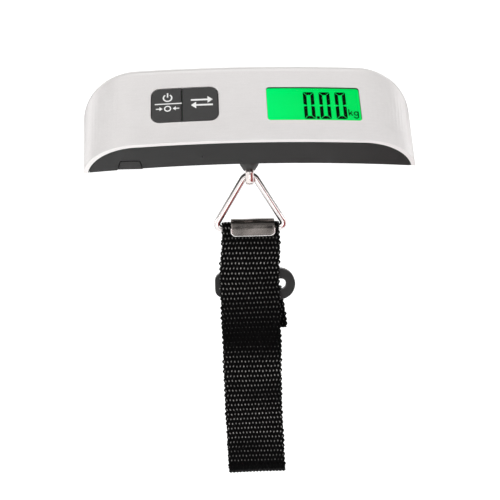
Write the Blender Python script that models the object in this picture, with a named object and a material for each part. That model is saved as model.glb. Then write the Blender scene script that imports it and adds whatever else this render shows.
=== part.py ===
"""Digital luggage scale: a wedge-shaped handle with a lit display, and a webbing loop on a steel ring.

X runs along the handle, Y from the display side to the back, and Z up. The origin is where the load's
axis leaves the middle of the underside. Lengths are in metres.
"""

import math

import bmesh
import bpy
from mathutils import Matrix, Vector

MM = 0.001
GAP = 0.3 * MM

# Handle
HALF_LENGTH = 68.9 * MM
RIDGE_HALF = 70.9 * MM
FRONT_Y = -15.0 * MM
REAR_Y = 17.0 * MM
CROWN_RADIUS = 1.0
SLANT = math.radians(49.7)
FRONT_RIM_Z = 9.9 * MM
FRONT_ARCH_Z = 8.7 * MM
REAR_ARCH_Z = 20.0 * MM
RIDGE_RADIUS = 5.0 * MM
WALL = 1.8 * MM
RIM_WIDTH = 2.1 * MM
REAR_INSET = 2.0 * MM
FOOT_STEP = 0.5 * MM
FRONT_CORNER = (23.2 * MM, 12.0 * MM)
TOP_CORNER = (24.5 * MM, 21.0 * MM)
ARCH_CORNER = (21.2 * MM, 11.2 * MM)
REAR_CORNER = (19.0 * MM, 14.5 * MM)
FLOOR = 2.2 * MM
SHELL_DEPTH = 2.4 * MM

# Display and keys, as spans along the handle (x) and up the slanted face (s)
WINDOW_X = (7.7 * MM, 47.5 * MM)
WINDOW_S = (9.8 * MM, 27.1 * MM)
PAD_X = (-41.1 * MM, -12.5 * MM)
PAD_S = (10.2 * MM, 28.1 * MM)
PAD_SPLIT_X = -28.0 * MM
PAD_CORNER = 3.8 * MM
WINDOW_CORNER = 1.3 * MM
KEY_TOP = 0.1 * MM
FLANGE_TOP = -2.1 * MM
FLANGE_BOTTOM = -2.9 * MM
FLANGE_LIP = 1.0 * MM
FACE_STRIPS = 6

# Display layers and circuit board, as heights over the slanted face
LCD_LEVELS = (-4.6 * MM, -3.3 * MM)
LIGHT_LEVELS = (-6.1 * MM, -4.9 * MM)
BOARD_X = (-50.0 * MM, 51.0 * MM)
BOARD_S = (10.0 * MM, 33.5 * MM)
BOARD_TOP = -7.2 * MM
BOARD_THICK = 1.0 * MM

# Load cell
BEAM_HALF = 30.0 * MM
BEAM_DEPTH = 5.5 * MM
BEAM_Z = (3.0 * MM, 8.0 * MM)
BEAM_BOLT_X = 26.0 * MM
SHANK_RADIUS = 1.5 * MM

# Hook, ring and strap
EYE_Z = -6.7 * MM
EYE_RADIUS = 3.05 * MM
EYE_SECTION = (1.75 * MM, 1.25 * MM)
RING_WIRE = 1.45 * MM
RING_TOP_Z = -6.75 * MM
RING_BAR_Z = -29.8 * MM
RING_BEND = 2.1 * MM
RING_TOP_BEND = 3.4 * MM
RING_HALF_WIDTH = 15.85 * MM
WEB_WIDTH = 24.8 * MM
WEB_THICK = 1.5 * MM
CLIP_X = (-8.4 * MM, 10.4 * MM)
CLIP_DROP = 2.8 * MM
WEB_WRAP = RING_WIRE + GAP / 2 + WEB_THICK / 2
FOLD_RADIUS = 3.9 * MM
FOLD_Z = -139.2 * MM
FOLD_Y = -0.6 * MM
FLEX_Z = -118.0 * MM
BUCKLE_Y = 3.4 * MM
BUCKLE_BAR_Z = -60.3 * MM
BUCKLE_BAR_HALF = 1.3 * MM
TAIL_END_Z = -76.5 * MM

# Battery
CELL_X = -50.5 * MM
CELL_Y = -1.0 * MM
CELL_RADIUS = 10.0 * MM
CELL_Z = (1.4 * MM, 4.6 * MM)
DOOR_X = (-61.5 * MM, -39.5 * MM)
DOOR_FRONT_Y = -12.3 * MM
DOOR_HINGE_Y = 10.4 * MM
DOOR_HINGE_Z = -0.5 * MM
DOOR_THICK = 1.6 * MM
DOOR_SWEEP = 1.5 * MM
TAB_HALF = (5.0 * MM, 3.8 * MM)
TAB_HEIGHT = 3.2 * MM
TAB_OFFSET = 0.8 * MM

# Screws: position of each case screw on the underside
CASE_SCREWS = ((-28.0 * MM, 11.0 * MM), (28.0 * MM, 11.0 * MM), (54.5 * MM, 0.0), (0.0, -9.8 * MM))
CASE_BOSS_TOP = (24.0 * MM, 24.0 * MM, 19.8 * MM, 12.0 * MM)
BOARD_SCREWS = (
    (-47.0 * MM, 12.6 * MM),
    (-47.0 * MM, 31.0 * MM),
    (1.6 * MM, 31.0 * MM),
    (48.4 * MM, 31.0 * MM),
)


def clear_scene():
    for old in list(bpy.data.objects):
        bpy.data.objects.remove(old, do_unlink=True)


def material(name, colour, roughness, metallic=0.0, emission=None, alpha=1.0):
    mat = bpy.data.materials.new(name)
    mat.use_nodes = True
    shader = mat.node_tree.nodes["Principled BSDF"]
    shader.inputs["Base Color"].default_value = (*colour, 1.0)
    shader.inputs["Roughness"].default_value = roughness
    shader.inputs["Metallic"].default_value = metallic
    shader.inputs["Alpha"].default_value = alpha
    if emission:
        shader.inputs["Emission Color"].default_value = (*emission, 1.0)
        shader.inputs["Emission Strength"].default_value = 1.0
    return mat


def finish(bm, name, mat, origin=(0, 0, 0), smooth=30):
    """Turn a mesh in world coordinates into a named object whose origin is at the given point."""
    origin = Vector(origin)
    bmesh.ops.remove_doubles(bm, verts=bm.verts, dist=1e-7)
    bmesh.ops.recalc_face_normals(bm, faces=bm.faces)
    bmesh.ops.translate(bm, verts=bm.verts, vec=-origin)
    mesh = bpy.data.meshes.new(name)
    bm.to_mesh(mesh)
    bm.free()
    if smooth:
        mesh.shade_smooth()
        mesh.set_sharp_from_angle(angle=math.radians(smooth))
    obj = bpy.data.objects.new(name, mesh)
    obj.location = origin
    obj.data.materials.append(mat)
    bpy.context.scene.collection.objects.link(obj)
    return obj


def cutter(bm, name):
    obj = finish(bm, name, MATERIALS["dark_plastic"], smooth=0)
    obj.hide_render = True
    obj.display_type = "WIRE"
    return obj


def cut(obj, bm, operation="DIFFERENCE"):
    """Cut a mesh from an object, or join it on, with a Boolean modifier."""
    tool = cutter(bm, f"tool_{len(bpy.data.objects):03d}_{obj.name}")
    mod = obj.modifiers.new(tool.name, "BOOLEAN")
    mod.operation = operation
    mod.solver = "EXACT"
    mod.object = tool


def loft(rings, close=False):
    """Skin a series of closed rings of points, with flat ends unless the series closes on itself."""
    bm = bmesh.new()
    rows = [[bm.verts.new(point) for point in ring] for ring in rings]
    count = len(rows[0])
    pairs = list(zip(rows, rows[1:] + rows[:1])) if close else list(zip(rows, rows[1:]))
    for low, high in pairs:
        for i in range(count):
            j = (i + 1) % count
            bm.faces.new((low[i], low[j], high[j], high[i]))
    if not close:
        bm.faces.new(rows[0])
        bm.faces.new(rows[-1])
    return bm


def rounded_rectangle(span_a, span_b, radius, steps=6):
    """Corner-rounded outline of a rectangle, counter-clockwise in its own plane."""
    points = []
    centres = (
        (span_a[1] - radius, span_b[0] + radius, -90),
        (span_a[1] - radius, span_b[1] - radius, 0),
        (span_a[0] + radius, span_b[1] - radius, 90),
        (span_a[0] + radius, span_b[0] + radius, 180),
    )
    for a, b, start in centres:
        for i in range(steps + 1):
            angle = math.radians(start + 90 * i / steps)
            points.append((a + radius * math.cos(angle), b + radius * math.sin(angle)))
    return points


def circle(centre_a, centre_b, radius, steps=24):
    turns = [2 * math.pi * i / steps for i in range(steps)]
    return [(centre_a + radius * math.cos(t), centre_b + radius * math.sin(t)) for t in turns]


def prism(outline, low, high, plane="XY"):
    """Extrude an outline between two heights along the axis its plane leaves out."""
    order = {"XY": (0, 1, 2), "XZ": (0, 2, 1), "YZ": (1, 2, 0)}[plane]

    def place(a, b, c):
        point = [0.0, 0.0, 0.0]
        point[order[0]], point[order[1]], point[order[2]] = a, b, c
        return point

    return loft([[place(a, b, level) for a, b in outline] for level in (low, high)])


def block(span_x, span_y, span_z):
    (x0, x1), (y0, y1) = span_x, span_y
    outline = [(x0, y0), (x1, y0), (x1, y1), (x0, y1)]
    return prism(outline, span_z[0], span_z[1])


def turned(profile, steps=20, centre=(0.0, 0.0), stretch_y=1.0):
    """Turn a closed (radius, height) profile about a vertical axis; a profile may touch the axis."""
    bm = bmesh.new()
    rows = []
    for i in range(steps):
        angle = 2 * math.pi * i / steps
        x, y = math.cos(angle), math.sin(angle) * stretch_y
        rows.append([bm.verts.new((centre[0] + r * x, centre[1] + r * y, z)) for r, z in profile])
    count = len(profile)
    for k in range(steps):
        here, there = rows[k], rows[(k + 1) % steps]
        for i in range(count):
            j = (i + 1) % count
            if profile[i][0] < 1e-9 and profile[j][0] < 1e-9:
                continue
            bm.faces.new((here[i], there[i], there[j], here[j]))
    bmesh.ops.remove_doubles(bm, verts=bm.verts, dist=1e-7)
    bmesh.ops.dissolve_degenerate(bm, dist=1e-7, edges=bm.edges)
    return bm


def rod(radius, low, high, centre=(0.0, 0.0), steps=20):
    return prism(circle(centre[0], centre[1], radius, steps), low, high)


def swept(path, section, close=False):
    """Sweep a section along a path given as (point, side, up) frames."""
    rings = [[point + side * a + up * b for a, b in section] for point, side, up in path]
    return loft(rings, close)


def crown(x):
    """Drop of the gently crowned long lines at a distance x from the middle."""
    return -x * x / (2 * CROWN_RADIUS)


def follow_crown(bm, span_x, strips):
    """Slice a mesh into strips along X, then let it drop with the crown of the handle."""
    for i in range(1, strips):
        x = span_x[0] + (span_x[1] - span_x[0]) * i / strips
        geometry = bm.verts[:] + bm.edges[:] + bm.faces[:]
        bmesh.ops.bisect_plane(bm, geom=geometry, plane_co=(x, 0, 0), plane_no=(1, 0, 0), dist=1e-7)
    for vert in bm.verts:
        vert.co.z += crown(vert.co.x)
    return bm


def onto_face(bm):
    """Move a mesh drawn as (x, s, n) onto the slanted face, n being the height above it."""
    bmesh.ops.rotate(bm, verts=bm.verts, cent=(0, 0, 0), matrix=Matrix.Rotation(SLANT, 3, "X"))
    bmesh.ops.translate(bm, verts=bm.verts, vec=(0, FRONT_Y, FRONT_RIM_Z))
    return bm


def face_point(x, s, n):
    y = FRONT_Y + s * math.cos(SLANT) - n * math.sin(SLANT)
    z = FRONT_RIM_Z + s * math.sin(SLANT) + n * math.cos(SLANT)
    return Vector((x, y, z))


def arch(half, height, corner, level_steps=7, corner_steps=18):
    """(x, z) points of a crowned arch, from its left foot over the top to its right foot."""
    level = half - corner[0]
    top = height + crown(level)
    foot = crown(half)
    end = max(foot + FOOT_STEP, top - corner[1])
    last = math.asin((end - top + corner[1]) / corner[1])
    reach = corner[0] / math.cos(last)
    places = [level * i / level_steps for i in range(level_steps)]
    right = [(x, height + crown(x)) for x in places]
    for i in range(corner_steps + 1):
        angle = math.pi / 2 + (last - math.pi / 2) * i / corner_steps
        right.append((level + reach * math.cos(angle), top - corner[1] + corner[1] * math.sin(angle)))
    right.append((half, foot))
    return [(-x, z) for x, z in reversed(right[1:])] + right


def blend_corner(low, high, share):
    return tuple(a + (b - a) * share for a, b in zip(low, high))


def hood_sections():
    """Outer and inner sections of the hood, from its front rim over the ridge to its rear edge."""
    centre_y = REAR_Y - RIDGE_RADIUS
    slant_run = (centre_y - FRONT_Y - RIDGE_RADIUS * math.sin(SLANT)) / math.cos(SLANT)
    centre_z = FRONT_RIM_Z + slant_run * math.sin(SLANT) - RIDGE_RADIUS * math.cos(SLANT)
    lip_run = (FRONT_ARCH_Z - FRONT_RIM_Z + WALL / math.cos(SLANT)) / math.tan(SLANT)
    lip_height = FRONT_RIM_Z + lip_run * math.tan(SLANT)
    lip_share = lip_run / (slant_run * math.cos(SLANT))
    lip_corner = blend_corner(FRONT_CORNER, TOP_CORNER, lip_share)
    lip_half = HALF_LENGTH + (RIDGE_HALF - HALF_LENGTH) * lip_share
    opening_half = HALF_LENGTH - RIM_WIDTH
    opening = (opening_half, FRONT_ARCH_Z, ARCH_CORNER)
    sections = [
        ((FRONT_Y, HALF_LENGTH, FRONT_RIM_Z, FRONT_CORNER), (FRONT_Y, *opening)),
        ((FRONT_Y + lip_run, lip_half, lip_height, lip_corner), (FRONT_Y + lip_run, *opening)),
    ]
    steps = 9
    for i in range(steps + 1):
        angle = -SLANT + (math.pi / 2 + SLANT) * i / steps
        pair = []
        for radius in (RIDGE_RADIUS, RIDGE_RADIUS - WALL):
            trim = RIDGE_RADIUS - radius * (math.cos(angle) if angle > 0 else 1.0)
            corner = (TOP_CORNER[0] - trim, TOP_CORNER[1] - trim)
            y = centre_y + radius * math.sin(angle)
            z = centre_z + radius * math.cos(angle)
            pair.append((y, RIDGE_HALF - trim, z, corner))
        sections.append(tuple(pair))
    rear_half = RIDGE_HALF - RIDGE_RADIUS - REAR_INSET
    rear = (rear_half, REAR_ARCH_Z, REAR_CORNER)
    sections.append(((REAR_Y, *rear), (REAR_Y - WALL, *rear)))
    return sections


def make_hood():
    sections = hood_sections()
    bm = bmesh.new()

    def row(section):
        y, half, height, corner = section
        return [bm.verts.new((x, y, z)) for x, z in arch(half, height, corner)]

    outer = [row(pair[0]) for pair in sections]
    inner = [row(pair[1]) for pair in sections]
    loop = outer + inner[::-1]
    for here, there in zip(loop, loop[1:] + loop[:1]):
        for i in range(len(here) - 1):
            bm.faces.new((here[i], here[i + 1], there[i + 1], there[i]))
    for end in (0, -1):
        for k in range(len(outer) - 1):
            bm.faces.new((outer[k][end], outer[k + 1][end], inner[k + 1][end], inner[k][end]))
    hood = finish(bm, "hood_shell", MATERIALS["silver_shell"])
    for (x, y), top in zip(CASE_SCREWS, CASE_BOSS_TOP):
        cut(hood, rod(2.6 * MM, 6.6 * MM, top, (x, y)), "UNION")
    for x, y in CASE_SCREWS[:2]:
        rib_y = (y + 1.0 * MM, REAR_Y - 1.0 * MM)
        cut(hood, block((x - 1.2 * MM, x + 1.2 * MM), rib_y, (21.0 * MM, 23.4 * MM)), "UNION")
    for x, s in BOARD_SCREWS:
        cut(hood, onto_face(rod(2.0 * MM, BOARD_TOP + GAP, crown(x) - 1.1 * MM, (x, s), 16)), "UNION")
    for x, y in CASE_SCREWS:
        cut(hood, rod(1.4 * MM, 6.0 * MM, 12.4 * MM, (x, y), 12))
    for x, s in BOARD_SCREWS:
        cut(hood, onto_face(rod(1.1 * MM, BOARD_TOP, -3.4 * MM, (x, s), 10)))
    through = (-5.0 * MM, 5.0 * MM)
    for span_x, span_s, corner in ((WINDOW_X, WINDOW_S, WINDOW_CORNER), (PAD_X, PAD_S, PAD_CORNER)):
        opening = onto_face(prism(rounded_rectangle(span_x, span_s, corner), *through))
        cut(hood, follow_crown(opening, span_x, FACE_STRIPS))


def grown(span, amount):
    return (span[0] - amount, span[1] + amount)


def lean_with_crown(bm, middle):
    """Tilt a flat piece so that it lies along the crown at one place on the handle."""
    slope = -middle / CROWN_RADIUS
    for vert in bm.verts:
        vert.co.z += crown(middle) + slope * (vert.co.x - middle)
    return bm


def make_display():
    """Clear window lipped behind the hood's wall, over the glass, its backlight and its contact strip."""
    lip_x, lip_s = grown(WINDOW_X, FLANGE_LIP), grown(WINDOW_S, FLANGE_LIP)
    outer = rounded_rectangle(lip_x, lip_s, WINDOW_CORNER + FLANGE_LIP)
    inner = rounded_rectangle(grown(WINDOW_X, -GAP), grown(WINDOW_S, -GAP), WINDOW_CORNER - GAP)
    levels = ((outer, FLANGE_BOTTOM), (outer, FLANGE_TOP), (inner, FLANGE_TOP), (inner, -0.1 * MM))
    window = loft([[(x, s, n) for x, s in outline] for outline, n in levels])
    window = follow_crown(onto_face(window), grown(WINDOW_X, FLANGE_LIP), FACE_STRIPS)
    finish(window, "display_window", MATERIALS["window"])
    middle = sum(WINDOW_X) / 2
    edge = WINDOW_S[1] - 1.0 * MM
    layers = (
        ("lcd_glass", grown(WINDOW_X, 1.8 * MM), grown(WINDOW_S, 1.4 * MM), LCD_LEVELS, "lcd"),
        ("backlight_panel", grown(WINDOW_X, MM), (WINDOW_S[0] - MM, edge), LIGHT_LEVELS, "backlight"),
        ("lcd_connector_strip", WINDOW_X, (edge + GAP, edge + 2.1 * MM), LIGHT_LEVELS, "rubber"),
    )
    for name, span_x, span_s, levels, mat in layers:
        plate = onto_face(prism(rounded_rectangle(span_x, span_s, 0.4 * MM, 2), *levels))
        finish(lean_with_crown(plate, middle), name, MATERIALS[mat], smooth=0)


def key_outline(span_x, span_s, radius_left, radius_right, steps=6):
    """Rectangle whose left and right pairs of corners have their own radii."""
    points = []
    corners = (
        (span_x[1], span_s[0], radius_right, -90),
        (span_x[1], span_s[1], radius_right, 0),
        (span_x[0], span_s[1], radius_left, 90),
        (span_x[0], span_s[0], radius_left, 180),
    )
    for x, s, radius, start in corners:
        cx = x - radius if x == span_x[1] else x + radius
        cs = s - radius if s == span_s[1] else s + radius
        for i in range(steps + 1):
            angle = math.radians(start + 90 * i / steps)
            points.append((cx + radius * math.cos(angle), cs + radius * math.sin(angle)))
    return points


def make_key(name, span_x, round_left, legend_material):
    """A key cap that fills its half of the pad, lipped on the sides that meet the hood."""
    big, small = PAD_CORNER - GAP, 0.5 * MM
    left, right = (big, small) if round_left else (small, big)
    lip_left = FLANGE_LIP if round_left else 0.0
    lip_right = 0.0 if round_left else FLANGE_LIP
    span_s = grown(PAD_S, -GAP)
    wide_x = (span_x[0] - lip_left, span_x[1] + lip_right)
    wide_s = grown(span_s, FLANGE_LIP)
    rim = key_outline(span_x, span_s, left, right)
    lip = key_outline(wide_x, wide_s, left + lip_left, right + lip_right)
    soft = 0.5 * MM
    top_x, top_s = grown(span_x, -soft), grown(span_s, -soft)
    top = key_outline(top_x, top_s, max(left - soft, 0.2 * MM), max(right - soft, 0.2 * MM))
    levels = ((lip, FLANGE_BOTTOM), (lip, FLANGE_TOP), (rim, FLANGE_TOP))
    levels += ((rim, KEY_TOP - soft / 2), (top, KEY_TOP))
    bm = loft([[(x, s, n) for x, s in outline] for outline, n in levels])
    bm = follow_crown(onto_face(bm), wide_x, FACE_STRIPS // 2)
    middle = face_point(sum(span_x) / 2, sum(span_s) / 2, KEY_TOP)
    finish(bm, name, legend_material, origin=middle)


def make_keys():
    split = GAP / 2 + 0.05 * MM
    make_key("power_key", (PAD_X[0] + GAP, PAD_SPLIT_X - split), True, MATERIALS["key_rubber"])
    make_key("unit_key", (PAD_SPLIT_X + split, PAD_X[1] - GAP), False, MATERIALS["key_rubber"])
    middles = (PAD_X[0] + PAD_SPLIT_X) / 2, (PAD_SPLIT_X + PAD_X[1]) / 2
    for name, x in zip(("power_switch", "unit_switch"), middles):
        s = sum(PAD_S) / 2
        half = 3.0 * MM
        base = rounded_rectangle((x - half, x + half), (s - half, s + half), 0.3 * MM, 2)
        body = onto_face(prism(base, BOARD_TOP + GAP, -4.9 * MM))
        switch = finish(body, name, MATERIALS["board_part"], smooth=0)
        cut(switch, onto_face(rod(1.6 * MM, -6.0 * MM, -3.9 * MM, (x, s), 14)), "UNION")


def make_board():
    low = BOARD_TOP - BOARD_THICK
    board = rounded_rectangle(BOARD_X, BOARD_S, 1.0 * MM, 3)
    board = finish(onto_face(prism(board, low, BOARD_TOP)), "circuit_board", MATERIALS["board"], smooth=0)
    for x, s in BOARD_SCREWS:
        cut(board, onto_face(rod(1.2 * MM, low - GAP, BOARD_TOP + GAP, (x, s), 12)))
    chip_x, chip_s = -12.0 * MM, 22.0 * MM
    dome = [(0.0, 0.0), (5.0 * MM, 0.0), (4.6 * MM, 0.7 * MM), (3.2 * MM, 1.2 * MM), (0.0, 1.5 * MM)]
    chip = turned([(r, low - GAP - z) for r, z in dome], 18, (chip_x, chip_s))
    finish(onto_face(chip), "controller_chip", MATERIALS["board_part"])
    for number, (x, s) in enumerate(BOARD_SCREWS, 1):
        profile = [(0.0, -3.8), (0.8, -3.8), (0.8, -8.5)]
        profile += [(1.9, -8.5), (1.9, -9.3), (1.5, -9.8), (0.0, -9.9)]
        screw = turned([(r * MM, n * MM) for r, n in profile], 14, (x, s))
        finish(onto_face(screw), f"board_screw_{number}", MATERIALS["steel"])


def base_sections():
    """Half width and arch height of the base at each depth, just inside the hood."""
    inner_half = RIDGE_HALF - RIDGE_RADIUS
    shoulder_y = REAR_Y - WALL - GAP
    curve = math.sqrt((RIDGE_RADIUS - WALL) ** 2 - (shoulder_y - REAR_Y + RIDGE_RADIUS) ** 2)
    rear_half = inner_half - REAR_INSET - GAP
    rear_corner = (REAR_CORNER[0] - GAP, REAR_CORNER[1] - GAP)
    stations = [
        (FRONT_Y + 0.2 * MM, HALF_LENGTH - RIM_WIDTH - GAP),
        (FRONT_Y + SHELL_DEPTH, HALF_LENGTH - RIM_WIDTH - GAP),
        (REAR_Y - RIDGE_RADIUS, RIDGE_HALF - WALL - GAP),
        (shoulder_y - 0.1 * MM, inner_half + curve - GAP),
        (shoulder_y, rear_half),
        (REAR_Y - 0.2 * MM, rear_half),
    ]
    first, last = stations[1][0], stations[-1][0]
    sections = []
    for y, half in stations:
        share = max(0.0, (y - first) / (last - first))
        height = FRONT_ARCH_Z - GAP + (REAR_ARCH_Z - FRONT_ARCH_Z) * share
        corner = blend_corner((ARCH_CORNER[0], ARCH_CORNER[1] - GAP), rear_corner, share)
        sections.append((y, half, height, corner))
    return sections


def make_base():
    rings = []
    for y, half, height, corner in base_sections():
        top = arch(half, height, corner)
        under = [(x, crown(x)) for x, _ in top[1:-1]]
        rings.append([(x, y, z) for x, z in top + under[::-1]])
    base = finish(loft(rings), "base_shell", MATERIALS["dark_plastic"])
    inner_x = HALF_LENGTH - 10.0 * MM
    inner_y = (FRONT_Y + SHELL_DEPTH, REAR_Y - SHELL_DEPTH)
    cut(base, block((-inner_x, inner_x), inner_y, (FLOOR, 40 * MM)))
    well_y = (inner_y[0] - 0.2 * MM, DOOR_HINGE_Y + 3.4 * MM)
    well = block(grown(DOOR_X, 1.2 * MM), well_y, (0.5 * MM, 3.4 * MM))
    cut(base, well, "UNION")
    cut(base, rod(CELL_RADIUS + 1.4 * MM, 1.5 * MM, 5.2 * MM, (CELL_X, CELL_Y), 32), "UNION")
    for x in (-BEAM_BOLT_X, BEAM_BOLT_X):
        seat_z = (1.5 * MM, BEAM_Z[0] - GAP)
        cut(base, block((x - 4.0 * MM, x + 4.0 * MM), (-BEAM_DEPTH, BEAM_DEPTH), seat_z), "UNION")
    for x, y in CASE_SCREWS:
        cut(base, rod(3.2 * MM, 1.0 * MM, 6.3 * MM, (x, y), 20), "UNION")
    recess_y = (DOOR_FRONT_Y - GAP, DOOR_HINGE_Y + DOOR_SWEEP)
    recess = block(grown(DOOR_X, GAP), recess_y, (-4.0 * MM, 1.15 * MM))
    cut(base, recess)
    tab_x = sum(DOOR_X) / 2 + TAB_OFFSET
    cut(base, tab_solid(tab_x, GAP, -4.0 * MM))
    cut(base, rod(CELL_RADIUS + 0.4 * MM, 0.9 * MM, 7.0 * MM, (CELL_X, CELL_Y), 32))
    slot_x = (CELL_X + CELL_RADIUS - 1.0 * MM, CELL_X + CELL_RADIUS + 2.4 * MM)
    cut(base, block(slot_x, (CELL_Y - 3.0 * MM, CELL_Y + 3.0 * MM), (0.9 * MM, 7.0 * MM)))
    cut(base, rod(SHANK_RADIUS + 0.6 * MM, -1.0 * MM, 4.0 * MM))
    for x in (-BEAM_BOLT_X, BEAM_BOLT_X):
        cut(base, rod(1.7 * MM, 0.9 * MM, 4.0 * MM, (x, 0.0), 12))
    for x, y in CASE_SCREWS:
        cut(base, rod(1.4 * MM, 1.5 * MM, 8.0 * MM, (x, y), 12))
        cut(base, rod(2.5 * MM, -4.0 * MM, 2.4 * MM, (x, y), 16))
    for number, (x, y) in enumerate(CASE_SCREWS, 1):
        profile = [(0.0, 0.5), (1.7, 0.5), (2.2, 0.9), (2.2, 2.1), (1.1, 2.1), (1.1, 11.0), (0.0, 12.0)]
        body = turned([(r * MM, z * MM) for r, z in profile], 16, (x, y))
        finish(body, f"case_screw_{number}", MATERIALS["steel"])


def tab_solid(middle, margin, bottom):
    """The latch tab at the front of the battery door, or the notch that clears it."""
    low, high = TAB_HALF[0] + margin, TAB_HALF[1] + margin
    foot = crown(middle)
    top = TAB_HEIGHT + foot + margin
    outline = [(middle + low, foot), (middle + high, top), (middle - high, top), (middle - low, foot)]
    if bottom < foot:
        outline += [(middle - low, bottom), (middle + low, bottom)]
    back = DOOR_FRONT_Y + GAP + margin
    front = FRONT_Y + 0.2 * MM if margin == 0 else FRONT_Y - 1.0 * MM
    return prism(outline, front, back, "XZ")


def make_battery():
    finish(rod(CELL_RADIUS, *CELL_Z, (CELL_X, CELL_Y), 40), "coin_cell", MATERIALS["steel"])
    plate = block(DOOR_X, (DOOR_FRONT_Y, DOOR_HINGE_Y + 0.3 * MM), (0.0, DOOR_THICK))
    door = finish(follow_crown(plate, DOOR_X, 5), "battery_door", MATERIALS["dark_plastic"],
                  origin=(sum(DOOR_X) / 2, DOOR_HINGE_Y, DOOR_HINGE_Z))
    tab_x = sum(DOOR_X) / 2 + TAB_OFFSET
    cut(door, tab_solid(tab_x, 0.0, crown(tab_x)), "UNION")
    top = CELL_Z[1] + GAP
    kinks = [(-56.0, 0.9), (-53.5, 0.9), (-51.5, 0.0), (-49.5, 0.0), (-47.5, 0.9), (-36.5, 0.9)]
    kinks += [(-36.5, 1.3), (-47.7, 1.3), (-49.7, 0.4), (-51.3, 0.4), (-53.3, 1.3), (-56.0, 1.3)]
    outline = [(x * MM, top + z * MM) for x, z in kinks]
    spring = prism(outline, CELL_Y + 3.6 * MM, CELL_Y + 7.0 * MM, "XZ")
    finish(spring, "battery_contact_negative", MATERIALS["steel"], smooth=0)
    side = CELL_X + CELL_RADIUS + GAP
    bracket = [(side, 1.6 * MM), (side + 0.4 * MM, 1.6 * MM), (side + 0.4 * MM, 5.6 * MM)]
    bracket += [(side + 4.5 * MM, 5.6 * MM), (side + 4.5 * MM, 6.0 * MM), (side, 6.0 * MM)]
    leaf = prism(bracket, CELL_Y - 2.2 * MM, CELL_Y + 2.2 * MM, "XZ")
    finish(leaf, "battery_contact_positive", MATERIALS["steel"], smooth=0)


def make_load_cell():
    beam = block((-BEAM_HALF, BEAM_HALF), (-BEAM_DEPTH, BEAM_DEPTH), BEAM_Z)
    beam = finish(beam, "load_cell_beam", MATERIALS["aluminium"], smooth=0)
    middle = sum(BEAM_Z) / 2
    for x in (-18.0, -12.0, 12.0, 18.0):
        cut(beam, prism(circle(x * MM, middle, 1.7 * MM, 16), -8 * MM, 8 * MM, "XZ"))
    slot_z = (middle - 0.6 * MM, middle + 0.6 * MM)
    for x in (-15.0, 15.0):
        cut(beam, block(((x - 3) * MM, (x + 3) * MM), (-8 * MM, 8 * MM), slot_z))
    cut(beam, rod(SHANK_RADIUS + 0.4 * MM, 2.0 * MM, 9.0 * MM))
    for x in (-BEAM_BOLT_X, BEAM_BOLT_X):
        cut(beam, rod(1.8 * MM, 2.0 * MM, 9.0 * MM, (x, 0.0), 14))
    for name, x in (("strain_gauge_left", -15.0 * MM), ("strain_gauge_right", 15.0 * MM)):
        pad = rounded_rectangle((x - 3.2 * MM, x + 3.2 * MM), (-1.8 * MM, 1.8 * MM), 0.4 * MM, 2)
        finish(prism(pad, BEAM_Z[1] + GAP, BEAM_Z[1] + 2 * GAP), name, MATERIALS["gauge_foil"], smooth=0)
    for name, x in (("beam_screw_left", -BEAM_BOLT_X), ("beam_screw_right", BEAM_BOLT_X)):
        profile = [(0.0, 1.2), (1.4, 1.2), (1.4, 8.3), (2.6, 8.3), (2.6, 9.3), (2.0, 10.0), (0.0, 10.2)]
        finish(turned([(r * MM, z * MM) for r, z in profile], 16, (x, 0.0)), name, MATERIALS["steel"])


def lead(name, points, mat):
    """A thin insulated wire between two soldered joints."""
    curve = bpy.data.curves.new(name, "CURVE")
    curve.dimensions = "3D"
    curve.bevel_depth = 0.45 * MM
    curve.bevel_resolution = 2
    curve.use_fill_caps = True
    spline = curve.splines.new("POLY")
    start, bend_a, bend_b, end = (Vector(point) for point in points)
    steps = 14
    spline.points.add(steps)
    for i in range(steps + 1):
        t = i / steps
        rest = 1 - t
        place = start * rest ** 3 + bend_a * 3 * t * rest ** 2
        place += bend_b * 3 * t * t * rest + end * t ** 3
        spline.points[i].co = (*place, 1.0)
    curve.materials.append(mat)
    obj = bpy.data.objects.new(name, curve)
    bpy.context.scene.collection.objects.link(obj)


def make_leads():
    under = BOARD_TOP - BOARD_THICK - GAP - 0.3 * MM
    down = face_point(0, 0, -1.0) - face_point(0, 0, 0)
    reach = 4.0 * MM

    def to_board(name, start, board_x, board_s, mat):
        start = Vector(start)
        end = face_point(board_x, board_s, under)
        rise = Vector((0, 0, 3.5 * MM))
        lead(name, (start, start + rise, end + down * reach, end), mat)

    to_board("load_cell_lead", (15 * MM, 0.0, BEAM_Z[1] + 3.5 * GAP), 20 * MM, 24 * MM, MATERIALS["wire"])
    plus_end = (-37.2 * MM, CELL_Y, 6.9 * MM)
    minus_end = (-38.5 * MM, CELL_Y + 5.3 * MM, 6.9 * MM)
    to_board("battery_lead_positive", plus_end, -34 * MM, 21 * MM, MATERIALS["wire_red"])
    to_board("battery_lead_negative", minus_end, -40 * MM, 26 * MM, MATERIALS["wire"])


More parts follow.
